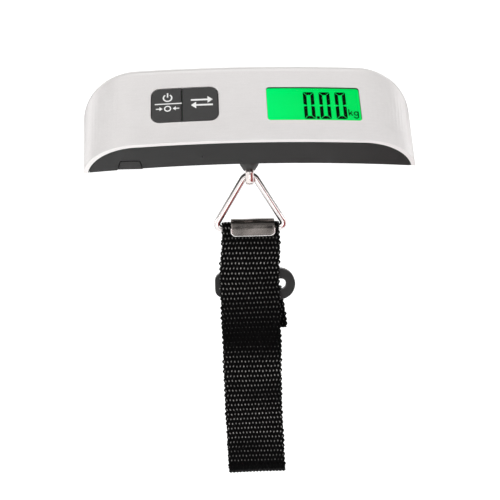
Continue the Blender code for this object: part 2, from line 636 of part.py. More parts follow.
def make_hook():
    """Forged eye and shank, with the collar pressed on under the base and the nut on the load cell."""
    steps = 24
    section = circle(0.0, 0.0, 1.0, 12)
    section = [(EYE_SECTION[0] * a, EYE_SECTION[1] * b) for a, b in section]
    path = []
    for i in range(steps):
        angle = 2 * math.pi * i / steps
        out = Vector((0, math.cos(angle), math.sin(angle)))
        path.append((Vector((0, 0, EYE_Z)) + out * EYE_RADIUS, Vector((1, 0, 0)), out))
    eye = finish(swept(path, section, close=True), "hook_eye", MATERIALS["chrome"])
    shank_low = EYE_Z + EYE_RADIUS - 0.6 * MM
    cut(eye, rod(SHANK_RADIUS, shank_low, 11.8 * MM, steps=18), "UNION")
    profile = [(4.3, -0.3), (4.3, -1.3), (3.9, -2.4), (3.1, -3.6), (2.45, -4.6)]
    profile += [(2.1, -4.6), (2.1, -1.3), (1.8, -1.3), (1.8, -0.3)]
    collar = turned([(r * MM, z * MM) for r, z in profile], 28, stretch_y=1.2)
    collar = finish(collar, "hook_collar", MATERIALS["dark_plastic"])
    pocket = rounded_rectangle((-2.05 * MM, 2.05 * MM), (-4.55 * MM, 4.55 * MM), 1.5 * MM, 4)
    cut(collar, prism(pocket, -6.0 * MM, -2.1 * MM))
    washer = turned([(r * MM, z * MM) for r, z in ((1.8, 8.3), (3.8, 8.3), (3.8, 8.9), (1.8, 8.9))], 20)
    finish(washer, "hook_washer", MATERIALS["steel"])
    nut = [(3.1 * MM * math.cos(a), 3.1 * MM * math.sin(a)) for a in (math.pi / 3 * i for i in range(6))]
    nut = finish(prism(nut, 9.2 * MM, 11.2 * MM), "hook_nut", MATERIALS["steel"], smooth=0)
    cut(nut, rod(SHANK_RADIUS + 0.3 * MM, 8 * MM, 13 * MM, steps=14))


def make_ring():
    """Triangular ring of round wire, its apex in the eye and its base bar in the webbing."""
    foot = RING_HALF_WIDTH - RING_WIRE - RING_BEND
    low = RING_BAR_Z + RING_BEND
    high = RING_TOP_Z - RING_TOP_BEND
    slope = math.atan2(foot, high - low)
    lean = math.degrees(slope + math.asin((RING_BEND - RING_TOP_BEND) / math.hypot(foot, high - low)))
    bends = (
        (-foot, low, RING_BEND, 180 - lean, 270),
        (foot, low, RING_BEND, 270, 360 + lean),
        (0.0, high, RING_TOP_BEND, lean, 180 - lean),
    )
    path = []
    for cx, cz, radius, start, end in bends:
        for i in range(11):
            angle = math.radians(start + (end - start) * i / 10)
            out = Vector((math.cos(angle), 0, math.sin(angle)))
            path.append((Vector((cx, 0, cz)) + out * radius, out, Vector((0, 1, 0))))
    section = circle(0.0, 0.0, RING_WIRE, 12)
    wire = swept(path, section, close=True)
    finish(wire, "triangle_ring", MATERIALS["chrome"], origin=(0, 0, RING_TOP_Z))


def ribbon(points, thickness):
    """Outline in (y, z) of a band of even thickness along a line of points."""
    left, right = [], []
    for i, (y, z) in enumerate(points):
        before = points[max(i - 1, 0)]
        after = points[min(i + 1, len(points) - 1)]
        dy, dz = after[0] - before[0], after[1] - before[1]
        length = math.hypot(dy, dz)
        ny, nz = -dz / length * thickness / 2, dy / length * thickness / 2
        left.append((y + ny, z + nz))
        right.append((y - ny, z - nz))
    return left + right[::-1]


def arc(centre, radius, start, end, steps):
    angles = [math.radians(start + (end - start) * i / steps) for i in range(steps + 1)]
    return [(centre[0] + radius * math.cos(a), centre[1] + radius * math.sin(a)) for a in angles]


def eased(start, end, steps):
    """Points that leave and arrive vertically between two places on the strap."""
    points = []
    for i in range(1, steps):
        t = i / steps
        share = t * t * (3 - 2 * t)
        points.append((start[0] + (end[0] - start[0]) * share, start[1] + (end[1] - start[1]) * t))
    return points


def main_band():
    """Centre line of the webbing from its hidden end, over the ring's bar, down and round the fold."""
    bar = arc((0.0, RING_BAR_Z), WEB_WRAP, 0, 180, 12)
    fold = arc((FOLD_Y, FOLD_Z), FOLD_RADIUS, 180, 360, 14)
    start = (WEB_WRAP, RING_BAR_Z - 6.5 * MM)
    front = eased(bar[-1], fold[0], 10)
    return [start] + bar + front + fold + [(FOLD_Y + FOLD_RADIUS, FLEX_Z - GAP / 2)]


def tail_band():
    """Centre line from the flex point up to the buckle, over its bar and down to the sewn end."""
    radius = BUCKLE_BAR_HALF * math.sqrt(2) + GAP + WEB_THICK / 2
    over = arc((BUCKLE_Y, BUCKLE_BAR_Z), radius, 180, 0, 12)
    start = (FOLD_Y + FOLD_RADIUS, FLEX_Z + GAP / 2)
    rear_y = BUCKLE_Y + 1.1 * MM
    front_y = rear_y - WEB_THICK - GAP
    meeting_z = BUCKLE_BAR_Z - 7.5 * MM
    front = eased(start, (front_y, meeting_z), 8) + [(front_y, meeting_z)]
    front += eased((front_y, meeting_z), over[0], 5)
    rear = eased(over[-1], (rear_y, meeting_z), 5) + [(rear_y, meeting_z), (rear_y, TAIL_END_Z)]
    return [start] + front + over + rear


def make_strap():
    half = WEB_WIDTH / 2
    main = prism(ribbon(main_band(), WEB_THICK), -half, half, "YZ")
    finish(main, "webbing_strap", MATERIALS["webbing"], origin=(0, 0, RING_BAR_Z))
    tail = prism(ribbon(tail_band(), WEB_THICK), -half, half, "YZ")
    pivot_y = FOLD_Y + FOLD_RADIUS + WEB_THICK / 2
    finish(tail, "webbing_tail", MATERIALS["webbing"], origin=(0, pivot_y, FLEX_Z))
    inner = WEB_WRAP + WEB_THICK / 2 + GAP
    sheet = 0.7 * MM
    low = RING_BAR_Z - CLIP_DROP
    line = [(inner + sheet / 2, low)] + arc((0.0, RING_BAR_Z), inner + sheet / 2, 0, 180, 12)
    line += [(-inner - sheet / 2, low)]
    clip = prism(ribbon(line, sheet), *CLIP_X, "YZ")
    finish(clip, "webbing_clip", MATERIALS["steel"], origin=(0, 0, RING_BAR_Z))


def make_buckle():
    """Plastic buckle: a slot and bar for the webbing, a rounded lug at the left and a ring at the right."""
    low, high = BUCKLE_BAR_Z - BUCKLE_BAR_HALF, BUCKLE_BAR_Z + 9.9 * MM
    middle = (low + high) / 2
    depth = (BUCKLE_Y - BUCKLE_BAR_HALF, BUCKLE_Y + BUCKLE_BAR_HALF)
    through = grown(depth, MM)
    plate = prism(rounded_rectangle((-16.0 * MM, 14.0 * MM), (low, high), 3.6 * MM, 5), *depth, "XZ")
    buckle = finish(plate, "strap_buckle", MATERIALS["dark_plastic"], origin=(0, BUCKLE_Y, BUCKLE_BAR_Z))
    cut(buckle, prism(circle(12.6 * MM, middle, 7.1 * MM, 32), *depth, "XZ"), "UNION")
    half = WEB_WIDTH / 2 + 0.4 * MM
    slot_z = (BUCKLE_BAR_Z + BUCKLE_BAR_HALF, BUCKLE_BAR_Z + 4.4 * MM)
    cut(buckle, prism(rounded_rectangle((0.25 * MM - half, half), slot_z, 0.8 * MM, 3), *through, "XZ"))
    cut(buckle, block((0.0, half), through, (low - 4 * MM, low)))
    hole_z = (middle - 2.5 * MM, middle + 2.5 * MM)
    cut(buckle, prism(rounded_rectangle((9.6 * MM, 15.6 * MM), hole_z, 2.2 * MM, 6), *through, "XZ"))


clear_scene()
MATERIALS = {
    "silver_shell": material("silver_shell", (0.72, 0.71, 0.70), 0.32, 0.35),
    "dark_plastic": material("dark_plastic", (0.035, 0.034, 0.033), 0.5),
    "key_rubber": material("key_rubber", (0.045, 0.044, 0.043), 0.6),
    "window": material("window", (0.8, 0.95, 0.85), 0.05, alpha=0.25),
    "lcd": material("lcd", (0.0, 0.75, 0.18), 0.3, emission=(0.0, 0.75, 0.18)),
    "backlight": material("backlight", (0.85, 0.95, 0.85), 0.4),
    "rubber": material("rubber", (0.03, 0.03, 0.03), 0.8),
    "board": material("board", (0.02, 0.16, 0.06), 0.45),
    "board_part": material("board_part", (0.02, 0.02, 0.02), 0.4),
    "steel": material("steel", (0.6, 0.6, 0.6), 0.28, 1.0),
    "chrome": material("chrome", (0.8, 0.78, 0.77), 0.1, 1.0),
    "aluminium": material("aluminium", (0.7, 0.7, 0.71), 0.35, 1.0),
    "gauge_foil": material("gauge_foil", (0.7, 0.35, 0.1), 0.4),
    "webbing": material("webbing", (0.012, 0.012, 0.013), 0.85),
    "wire": material("wire", (0.02, 0.02, 0.02), 0.5),
    "wire_red": material("wire_red", (0.5, 0.02, 0.02), 0.5),
}
make_hood()
make_display()
make_keys()
make_board()
make_base()
make_battery()
make_load_cell()
make_leads()
make_hook()
make_ring()
make_strap()
make_buckle()
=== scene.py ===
import math

import bmesh
import bpy
import numpy as np
from mathutils import Matrix, Vector


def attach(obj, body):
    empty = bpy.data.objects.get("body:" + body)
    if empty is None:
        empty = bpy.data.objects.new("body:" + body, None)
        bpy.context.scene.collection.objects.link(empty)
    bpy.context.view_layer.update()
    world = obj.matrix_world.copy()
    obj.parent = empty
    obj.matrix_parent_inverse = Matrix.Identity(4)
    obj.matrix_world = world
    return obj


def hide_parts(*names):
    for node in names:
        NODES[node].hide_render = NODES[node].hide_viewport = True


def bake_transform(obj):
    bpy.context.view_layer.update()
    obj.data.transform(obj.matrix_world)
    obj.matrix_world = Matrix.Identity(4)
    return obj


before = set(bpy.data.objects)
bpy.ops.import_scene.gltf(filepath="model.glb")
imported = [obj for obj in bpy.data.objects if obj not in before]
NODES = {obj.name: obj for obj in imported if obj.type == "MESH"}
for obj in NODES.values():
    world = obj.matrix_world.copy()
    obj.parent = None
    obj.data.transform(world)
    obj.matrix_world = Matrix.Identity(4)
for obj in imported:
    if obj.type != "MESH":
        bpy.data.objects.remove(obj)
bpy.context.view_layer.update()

MM = 0.001

# Lengths are in millimetres, unless a comment says otherwise.

# Face of the handle, as in the part: its slope, its rim's arch, its window and its keypad
SLANT = math.radians(49.7)
FRONT_Y = -15.0
FRONT_RIM_Z = 9.9
CROWN_RADIUS = 1000.0
RIM_HALF_WIDTH = 66.8
RIM_HEIGHT = 8.7
RIM_CORNER = (21.2, 11.2)
WINDOW_X = (7.7, 47.5)
WINDOW_S = (9.8, 27.1)
WINDOW_CORNER = 1.3
PAD_X = (-41.1, -12.5)
PAD_S = (10.2, 28.1)

# Display and key signs, in (x, s) on the sloping face
DIGITS_X = (23.7, 30.5, 37.3)
DIGIT_S = 12.8
DIGIT_WIDTH = 4.7
DIGIT_HEIGHT = 14.0
DIGIT_STROKE = 1.5
DISPLAY_LEVELS = (-3.28, -3.23)
POINT_X = 28.8
POINT_SIZE = 1.3
UNIT_PLACE = (42.8, 14.6)
POWER_PLACE = (-34.0, 22.9)
UNIT_SIGN = (-19.6, 19.9)
PRINT_LEVELS = (0.02, 0.12)

# Eye and ring, as in the part
EYE_Z = -6.7
EYE_RADIUS = 3.05
EYE_HALF_THICK = 1.25
EYE_HALF_WIDTH = 1.75
SHANK_RADIUS = 1.5
SHANK_TOP_Z = 11.8
THREAD_Z = (8.0, 11.3)
RING_TOP_Z = -6.75
RING_BAR_Z = -29.8
RING_WIRE = 1.45
RING_HALF_WIDTH = 15.85
RING_BEND = 2.1
RING_TOP_BEND = 3.4

# Webbing, buckle's bar and clip, as in the part; the tail's drift and its hem are the visual's own
WEB_WIDTH = 24.8
WEB_HALF_THICK = 0.75
TOUCH_GAP = 0.15
FOLD_Y = -0.6
FOLD_Z = -139.2
FOLD_RADIUS = 3.9
SPLIT_Z = -131.0
FLEX_Z = -118.0
BUCKLE_Y = 3.4
BUCKLE_Z = -60.3
BUCKLE_BAR_HALF = 1.3
TAIL_END_Z = -76.5
TAIL_DRIFT = 3.6
TAIL_DRIFT_RUN = 38.0
HEM_THICK = 0.5
HEM_RUN = 5.0
CLIP_X = 1.0
CLIP_END_Z = RING_BAR_Z - 2.8
CLIP_HALF_WIDTH = 9.4
CLIP_CORNER = 1.9
CLIP_THICK = 0.35

# Weave of the webbing
ROW_PITCH = 2.23
DOT_PITCH = 1.45
FLOAT_HEIGHT = 0.20
RIB_HEIGHT = 0.12
BEAD_REACH = 0.8
SELVEDGE_HALF_THICK = 0.26
STEP_ALONG = 0.32
STEP_ACROSS = 0.25

# How the hung webbing leans and spreads with height: (z, sideways drift, extra half width)
HANG = ((-140.0, 0.95, 0.45), (-114.0, 0.3, 0.5), (-104.0, -0.15, 0.5), (-90.0, -0.4, 0.7),
        (-45.0, -0.6, 0.75), (-36.0, -0.15, 0.4), (-31.5, 0.0, 0.0))

# Room and camera, in metres
FLOOR_Z = -0.30
FLOOR_RADIUS = 1.2
CURVE_RADIUS = 0.8
WALL_TOP_Z = 1.4
LOOK_AT = Vector((-0.0003, 0, -0.0397))
LOOK_DISTANCE = 0.408


# ---------------------------------------------------------------- materials
class Nodes:
    """A material's node tree, with object coordinates in metres."""

    def __init__(self, name):
        self.mat = bpy.data.materials.new(name)
        self.mat.use_nodes = True
        self.tree = self.mat.node_tree
        self.shader = self.tree.nodes["Principled BSDF"]
        self.place = self.add("ShaderNodeTexCoord").outputs["Object"]

    def add(self, kind, **settings):
        node = self.tree.nodes.new(kind)
        for key, value in settings.items():
            setattr(node, key, value)
        return node

    def link(self, a, b):
        self.tree.links.new(a, b)

    def stretched(self, scale):
        mapping = self.add("ShaderNodeMapping")
        mapping.inputs["Scale"].default_value = scale
        self.link(self.place, mapping.inputs["Vector"])
        return mapping.outputs["Vector"]

    def noise(self, scale, detail=3.0, stretch=(1, 1, 1), distortion=0.0):
        node = self.add("ShaderNodeTexNoise")
        node.inputs["Scale"].default_value = scale
        node.inputs["Detail"].default_value = detail
        node.inputs["Distortion"].default_value = distortion
        self.link(self.stretched(stretch), node.inputs["Vector"])
        return node.outputs["Fac"]

    def ramp(self, source, stops):
        node = self.add("ShaderNodeValToRGB")
        elements = node.color_ramp.elements
        while len(elements) < len(stops):
            elements.new(0.5)
        for element, (position, colour) in zip(elements, stops):
            element.position = position
            element.color = (*colour, 1.0)
        self.link(source, node.inputs["Fac"])
        return node.outputs["Color"]

    def span(self, source, low, high, start=0.0, end=1.0):
        """The source's start to end, mapped to low to high."""
        node = self.add("ShaderNodeMapRange")
        for key, value in zip(("From Min", "From Max", "To Min", "To Max"), (start, end, low, high)):
            node.inputs[key].default_value = value
        self.link(source, node.inputs["Value"])
        return node.outputs["Result"]

    def mix(self, share, a, b):
        """Blend from a to b, each a colour or a socket, by the share that a socket gives."""
        node = self.add("ShaderNodeMix", data_type="RGBA")
        for socket, value in ((node.inputs[0], share), (node.inputs[6], a), (node.inputs[7], b)):
            if isinstance(value, tuple):
                socket.default_value = (*value, 1.0)
            else:
                self.link(value, socket)
        return node.outputs[2]

    def bump(self, heights):
        """Chain of bump nodes, given as (height, strength, distance in metres)."""
        normal = None
        for height, strength, distance in heights:
            node = self.add("ShaderNodeBump")
            node.inputs["Strength"].default_value = strength
            node.inputs["Distance"].default_value = distance
            self.link(height, node.inputs["Height"])
            if normal:
                self.link(normal, node.inputs["Normal"])
            normal = node.outputs["Normal"]
        self.link(normal, self.shader.inputs["Normal"])

    def set(self, **values):
        """Sets the shader's own sockets to numbers or colours, or links sockets into them."""
        for key, value in values.items():
            socket = self.shader.inputs[key.replace("_", " ")]
            if isinstance(value, (int, float)):
                socket.default_value = value
            elif isinstance(value, tuple):
                socket.default_value = (*value, 1.0)
            else:
                self.link(value, socket)


def scaled(colour, factor):
    return tuple(min(1.0, c * factor) for c in colour)


def plain(name, colour, rough, metallic=0.0, grain=900.0, depth=0.00004, wear_and_painted_shade=1.25, **more):
    """A moulded or machined finish: mottled colour, uneven gloss, faint scratches and fine grain.
    The grain's depth is in metres, and wear_and_painted_shade is how much lighter the scratches are."""
    m = Nodes(name)
    cloud = m.noise(70.0, 4.0)
    scratch = m.noise(260.0, 2.0, stretch=(1, 9, 9), distortion=0.6)
    marks = m.span(scratch, 0.0, 1.0, 0.66, 0.74)
    base = m.ramp(cloud, [(0.3, scaled(colour, 0.9)), (0.7, scaled(colour, 1.1))])
    m.set(Base_Color=m.mix(m.span(marks, 0.0, 0.35), base, scaled(colour, wear_and_painted_shade)))
    m.set(Roughness=m.span(m.noise(140.0, 3.0), max(rough - 0.07, 0.02), rough + 0.09, 0.3, 0.7))
    m.set(Metallic=metallic, **more)
    m.bump([(m.noise(grain, 2.0), 0.35, depth), (marks, 0.15, depth)])
    return m.mat


def silver_paint():
    """Pearl paint with metal flakes, faint brushing along the handle and rubbed patches."""
    m = Nodes("pearl_silver_paint")
    flake = m.noise(4200.0, 2.0)
    brushed = m.noise(1500.0, 3.0, stretch=(0.12, 1, 1))
    cloud = m.noise(22.0, 4.0)
    base = m.ramp(cloud, [(0.3, (0.725, 0.70, 0.69)), (0.7, (0.765, 0.74, 0.735))])
    base = m.mix(m.span(flake, 0.0, 0.45, 0.35, 0.75), base, (0.86, 0.84, 0.835))
    base = m.mix(m.span(brushed, 0.0, 0.14, 0.35, 0.75), base, (0.60, 0.58, 0.575))
    rub = m.span(m.noise(55.0, 5.0, distortion=0.8), 0.0, 1.0, 0.62, 0.72)
    m.set(Base_Color=m.mix(m.span(rub, 0.0, 0.2), base, (0.64, 0.62, 0.61)))
    m.set(Roughness=m.span(m.noise(120.0, 3.0), 0.30, 0.42, 0.3, 0.7))
    m.set(Metallic=0.3, Coat_Weight=0.3, Coat_Roughness=0.16)
    m.bump([(brushed, 0.06, 0.00002), (flake, 0.3, 0.00001)])
    return m.mat


def webbing_cloth():
    """Black yarn, with painted highlights in its colour where the weave stands proud, as each point's relief
    says.
    """
    m = Nodes("woven_polyester")
    yarn = m.noise(2600.0, 2.0, stretch=(1.6, 1, 0.35))
    relief = m.add("ShaderNodeAttribute", attribute_name="relief").outputs["Fac"]
    # uneven strength of the painted highlight
    patch = m.add("ShaderNodeMath", operation="MULTIPLY")
    m.link(m.span(m.noise(330.0, 3.0), 0.6, 1.0, 0.3, 0.65), patch.inputs[0])
    m.link(m.span(m.noise(26.0, 2.0, stretch=(0.5, 1, 1.4)), 0.35, 1.0, 0.4, 0.56), patch.inputs[1])
    painted_highlight = m.add("ShaderNodeMath", operation="MULTIPLY")
    m.link(m.span(relief, 0.0, 1.0, 0.6, 0.94), painted_highlight.inputs[0])
    m.link(patch.outputs[0], painted_highlight.inputs[1])
    # painted highlight: lighter yarn colour for the float tops, blended over the black by the relief
    # attribute
    top = m.ramp(yarn, [(0.35, (0.13, 0.127, 0.122)), (0.65, (0.50, 0.485, 0.465))])
    m.set(Base_Color=m.mix(painted_highlight.outputs[0], (0.0012, 0.0012, 0.0013), top))
    m.set(Roughness=m.span(yarn, 0.4, 0.6, 0.3, 0.7), Specular_IOR_Level=0.03)
    m.bump([(yarn, 0.8, 0.00008)])
    return m.mat


def lcd_light():
    """The green backlight, a little brighter towards its left end."""
    m = Nodes("lit_display")
    across = m.add("ShaderNodeSeparateXYZ")
    m.link(m.place, across.inputs[0])
    along = m.span(across.outputs["X"], 0.0, 1.0, 0.006, 0.049)
    light = m.ramp(along, [(0.0, (0.0, 0.95, 0.18)), (0.5, (0.0, 0.84, 0.13)), (1.0, (0.0, 0.80, 0.12))])
    mottle = m.span(m.noise(60.0, 2.0), 0.97, 1.03, 0.3, 0.7)
    m.set(Base_Color=(0.0, 0.02, 0.005), Emission_Color=light, Emission_Strength=mottle)
    m.set(Roughness=m.span(m.noise(300.0, 2.0), 0.25, 0.35), Specular_IOR_Level=0.02)
    m.bump([(m.noise(1500.0, 1.0), 0.1, 0.00001)])
    return m.mat


def clear_window():
    m = Nodes("clear_window")
    smear = m.noise(45.0, 4.0, distortion=1.0)
    m.set(Base_Color=(0.02, 0.03, 0.02), Alpha=0.04, Roughness=m.span(smear, 0.03, 0.14, 0.3, 0.8))
    m.set(Specular_IOR_Level=0.25)
    m.bump([(m.noise(700.0, 2.0), 0.05, 0.00001)])
    return m.mat


def chrome(name, tint, rough):
    m = Nodes(name)
    cloud = m.noise(160.0, 4.0)
    tarnish = m.span(m.noise(420.0, 4.0, distortion=0.7), 0.0, 1.0, 0.6, 0.72)
    base = m.ramp(cloud, [(0.35, scaled(tint, 0.93)), (0.65, tint)])
    m.set(Base_Color=m.mix(m.span(tarnish, 0.0, 0.3), base, (0.5, 0.42, 0.40)))
    m.set(Roughness=m.span(m.noise(350.0, 3.0), rough, rough + 0.07, 0.35, 0.7), Metallic=1.0)
    m.bump([(m.noise(240.0, 2.0, stretch=(1, 1, 0.3)), 0.05, 0.00005)])
    return m.mat


SILVER = silver_paint()
DARK = plain("moulded_dark_plastic", (0.010, 0.0098, 0.0095), 0.34, grain=2600.0, wear_and_painted_shade=1.4,
             Specular_IOR_Level=0.45)
DOOR = plain("moulded_door_plastic", (0.013, 0.0125, 0.012), 0.46, grain=2300.0, depth=0.00006, wear_and_painted_shade=2.0)
KEYPAD = plain("keypad_rubber", (0.025, 0.0245, 0.024), 0.5, grain=3200.0, wear_and_painted_shade=1.6,
               Coat_Weight=0.1, Coat_Roughness=0.35)
COLLAR = plain("collar_nylon", (0.02, 0.0195, 0.019), 0.38, grain=1500.0, wear_and_painted_shade=1.8)
BUCKLE = plain("buckle_plastic", (0.017, 0.0168, 0.0168), 0.44, grain=1700.0, depth=0.00008, wear_and_painted_shade=1.7,
               Specular_IOR_Level=0.3)
WEBBING = webbing_cloth()
CHROME = chrome("polished_plate", (0.80, 0.76, 0.75), 0.03)
EYE_PLATE = chrome("forged_plate", (0.80, 0.74, 0.72), 0.08)
CLIP = plain("bright_clip_steel", (0.18, 0.162, 0.152), 0.22, metallic=1.0, wear_and_painted_shade=1.8)
# painted highlight: the clip's rim gets a much lighter copy of the clip's steel
RIM_PAINTED_HIGHLIGHT = plain("clip_rim_painted_highlight", (0.86, 0.84, 0.83), 0.2, metallic=1.0, grain=700.0, wear_and_painted_shade=1.1)
STEEL = plain("zinc_steel", (0.60, 0.60, 0.61), 0.3, metallic=1.0, grain=1200.0)
BLACK_STEEL = plain("black_screw_steel", (0.12, 0.12, 0.125), 0.35, metallic=0.9, grain=1200.0, wear_and_painted_shade=2.2)
CELL = plain("coin_cell_nickel", (0.72, 0.71, 0.69), 0.22, metallic=1.0, grain=500.0)
ALUMINIUM = plain("milled_aluminium", (0.68, 0.68, 0.69), 0.34, metallic=1.0, grain=1500.0)
FOIL = plain("gauge_foil", (0.55, 0.24, 0.06), 0.4, grain=1800.0)
BOARD = plain("solder_mask", (0.015, 0.13, 0.045), 0.38, grain=600.0, wear_and_painted_shade=1.5)
CHIP = plain("chip_epoxy", (0.018, 0.018, 0.019), 0.5, grain=2600.0, wear_and_painted_shade=1.8)
SWITCH = plain("switch_body", (0.03, 0.03, 0.032), 0.45, grain=1800.0, wear_and_painted_shade=1.8)
STRIP = plain("contact_rubber", (0.05, 0.05, 0.055), 0.7, grain=1400.0)
LIGHTBOX = plain("diffuser_sheet", (0.80, 0.90, 0.80), 0.4, wear_and_painted_shade=1.0)
LEAD_RED = plain("red_lead_sleeve", (0.45, 0.02, 0.02), 0.45, grain=1500.0)
LEAD_BLACK = plain("black_lead_sleeve", (0.02, 0.02, 0.022), 0.45, grain=1500.0, wear_and_painted_shade=1.8)
LEAD_GREY = plain("shielded_lead_sleeve", (0.16, 0.16, 0.17), 0.5, grain=1500.0)
# painted shade: a dark finish for the shadowed gap along the parting line and the outer part of the window's
# lining
GAP_SHADE = plain("dark_gap_painted_shade", (0.012, 0.02, 0.014), 0.6, grain=1500.0, wear_and_painted_shade=1.6)
INK_WHITE = plain("printed_white", (0.80, 0.80, 0.79), 0.45, grain=3000.0, depth=0.00001, wear_and_painted_shade=0.9)
INK_BLACK = plain("lcd_segment", (0.001, 0.004, 0.0015), 0.4, grain=2400.0, depth=0.00001, wear_and_painted_shade=1.3,
                  Specular_IOR_Level=0.02)

LCD = lcd_light()

FINISH = {
    "hood_shell": SILVER, "base_shell": DARK, "battery_door": DOOR, "hook_collar": COLLAR,
    "power_key": KEYPAD, "unit_key": KEYPAD, "display_window": clear_window(), "lcd_glass": LCD,
    "backlight_panel": LIGHTBOX, "lcd_connector_strip": STRIP, "circuit_board": BOARD,
    "controller_chip": CHIP, "power_switch": SWITCH, "unit_switch": SWITCH, "load_cell_beam": ALUMINIUM,
    "strain_gauge_left": FOIL, "strain_gauge_right": FOIL, "hook_washer": STEEL, "hook_nut": STEEL,
    "coin_cell": CELL, "battery_contact_negative": STEEL, "battery_contact_positive": STEEL,
    "battery_lead_positive": LEAD_RED, "battery_lead_negative": LEAD_BLACK, "load_cell_lead": LEAD_GREY,
    "beam_screw_left": STEEL, "beam_screw_right": STEEL, "strap_buckle": BUCKLE,
    "webbing_clip": CLIP, "webbing_strap": WEBBING, "webbing_tail": WEBBING,
    "triangle_ring": CHROME, "hook_eye": EYE_PLATE,
}
for number in range(1, 5):
    FINISH[f"case_screw_{number}"] = BLACK_STEEL
    FINISH[f"board_screw_{number}"] = STEEL
for name, node in NODES.items():
    node.data.materials.clear()
    node.data.materials.append(FINISH[name])


def soften(name, width):
    """Rounds a CAD piece's hard edges a little, so that they catch the light."""
    mod = NODES[name].modifiers.new("soft_edges", "BEVEL")
    mod.width = width * MM
    mod.segments = 3
    mod.limit_method = "ANGLE"
    mod.angle_limit = math.radians(35)
    mod.harden_normals = True


# ---------------------------------------------------------------- shapes
def build(name, verts, faces, mat, body, smooth=True):
    """A mesh piece from millimetre coordinates, riding on a body."""
    mesh = bpy.data.meshes.new(name)
    mesh.from_pydata([tuple(float(c) * MM for c in v) for v in verts], [], faces)
    bm = bmesh.new()
    bm.from_mesh(mesh)
    bmesh.ops.recalc_face_normals(bm, faces=bm.faces)
    bm.to_mesh(mesh)
    bm.free()
    if smooth:
        mesh.shade_smooth()
        mesh.set_sharp_from_angle(angle=math.radians(50))
    mesh.materials.append(mat)
    obj = bpy.data.objects.new(name, mesh)
    bpy.context.scene.collection.objects.link(obj)
    if body:
        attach(obj, body)
    return obj


def crown(x):
    """Drop of the gently crowned long lines at a distance x from the middle."""
    return -x * x / (2 * CROWN_RADIUS)


def face_point(x, s, n):
    """Point on the sloping face: x along it, s up the slope and n out of it."""
    y = FRONT_Y + s * math.cos(SLANT) - n * math.sin(SLANT)
    return (x, y, FRONT_RIM_Z + s * math.sin(SLANT) + n * math.cos(SLANT) + crown(x))


def display_point(x, s, n):
    """As face_point, on the flat display, which leans with the crown at the window's middle."""
    middle = sum(WINDOW_X) / 2
    lean = crown(middle) - (x - middle) * middle / CROWN_RADIUS - crown(x)
    px, py, pz = face_point(x, s, n)
    return (px, py, pz + lean)


def tube(path, radius, sides, close=True):
    """Vertices and faces of a round tube along a path of points."""
    path = [Vector(p) for p in path]
    count = len(path)
    verts, faces = [], []
    reference = Vector((0, 1, 0))
    for i, point in enumerate(path):
        before = path[i - 1] if close or i else path[0]
        after = path[(i + 1) % count] if close or i < count - 1 else path[-1]
        ahead = (after - before).normalized()
        if abs(ahead.dot(reference)) > 0.95:
            reference = Vector((1, 0, 0))
        side = ahead.cross(reference).normalized()
        reference = side.cross(ahead).normalized()
        for j in range(sides):
            turn = 2 * math.pi * j / sides
            verts.append(point + (side * math.cos(turn) + reference * math.sin(turn)) * radius)
    for i in range(count if close else count - 1):
        for j in range(sides):
            k, m = (i + 1) % count, (j + 1) % sides
            faces.append((i * sides + j, i * sides + m, k * sides + m, k * sides + j))
    if not close:
        faces.append(tuple(range(sides)))
        faces.append(tuple(range((count - 1) * sides, count * sides)))
    return verts, faces


def arc_points(centre, radius, start, end, steps):
    angles = [math.radians(start + (end - start) * i / steps) for i in range(steps + 1)]
    return [(centre[0] + radius * math.cos(a), centre[1] + radius * math.sin(a)) for a in angles]


def joined(arcs, run_steps):
    """A closed outline of arcs joined by straight runs."""
    points = []
    for arc, after in zip(arcs, arcs[1:] + arcs[:1]):
        (ax, ay), (bx, by) = arc[-1], after[0]
        points += arc
        shares = [i / run_steps for i in range(1, run_steps)]
        points += [(ax + (bx - ax) * t, ay + (by - ay) * t) for t in shares]
    return points


def rounded_outline(span_x, span_s, radius, corner_steps=8, run_steps=10):
    """Points round a rectangle with rounded corners."""
    left, right = span_x[0] + radius, span_x[1] - radius
    low, high = span_s[0] + radius, span_s[1] - radius
    corners = (((right, low), -90), ((right, high), 0), ((left, high), 90), ((left, low), 180))
    arcs = [arc_points(centre, radius, start, start + 90, corner_steps) for centre, start in corners]
    return joined(arcs, run_steps)


def plate(name, outlines, low, high, mat, body, where=face_point):
    """Flat printed shapes on the sloping face, each a closed outline of (x, s), between two heights."""
    verts, faces = [], []
    for outline in outlines:
        first, count = len(verts), len(outline)
        verts += [where(x, s, low) for x, s in outline] + [where(x, s, high) for x, s in outline]
        faces.append(tuple(range(first, first + count)))
        faces.append(tuple(range(first + count, first + 2 * count)))
        for i in range(count):
            j = (i + 1) % count
            faces.append((first + i, first + j, first + count + j, first + count + i))
    build(name, verts, faces, mat, body, smooth=False)


def bar_shape(a, b, half):
    """A straight stroke from a to b with square ends."""
    dx, ds = b[0] - a[0], b[1] - a[1]
    length = math.hypot(dx, ds)
    nx, ns = -ds / length * half, dx / length * half
    return [(a[0] + nx, a[1] + ns), (b[0] + nx, b[1] + ns), (b[0] - nx, b[1] - ns), (a[0] - nx, a[1] - ns)]


def arc_shape(centre, radius, half, start, end, steps):
    """A curved stroke of constant width from one angle to another."""
    outer = arc_points(centre, radius + half, start, end, steps)
    inner = arc_points(centre, radius - half, start, end, steps)
    return outer + inner[::-1]


def arrow(tip, tail, half, head):
    """An arrow as a stroke and a triangle."""
    way = 1 if tip[0] > tail[0] else -1
    neck = (tip[0] - way * head, tip[1])
    triangle = [tip, (neck[0], tip[1] + head * 0.8), (neck[0], tip[1] - head * 0.8)]
    return [bar_shape(tail, neck, half), triangle]


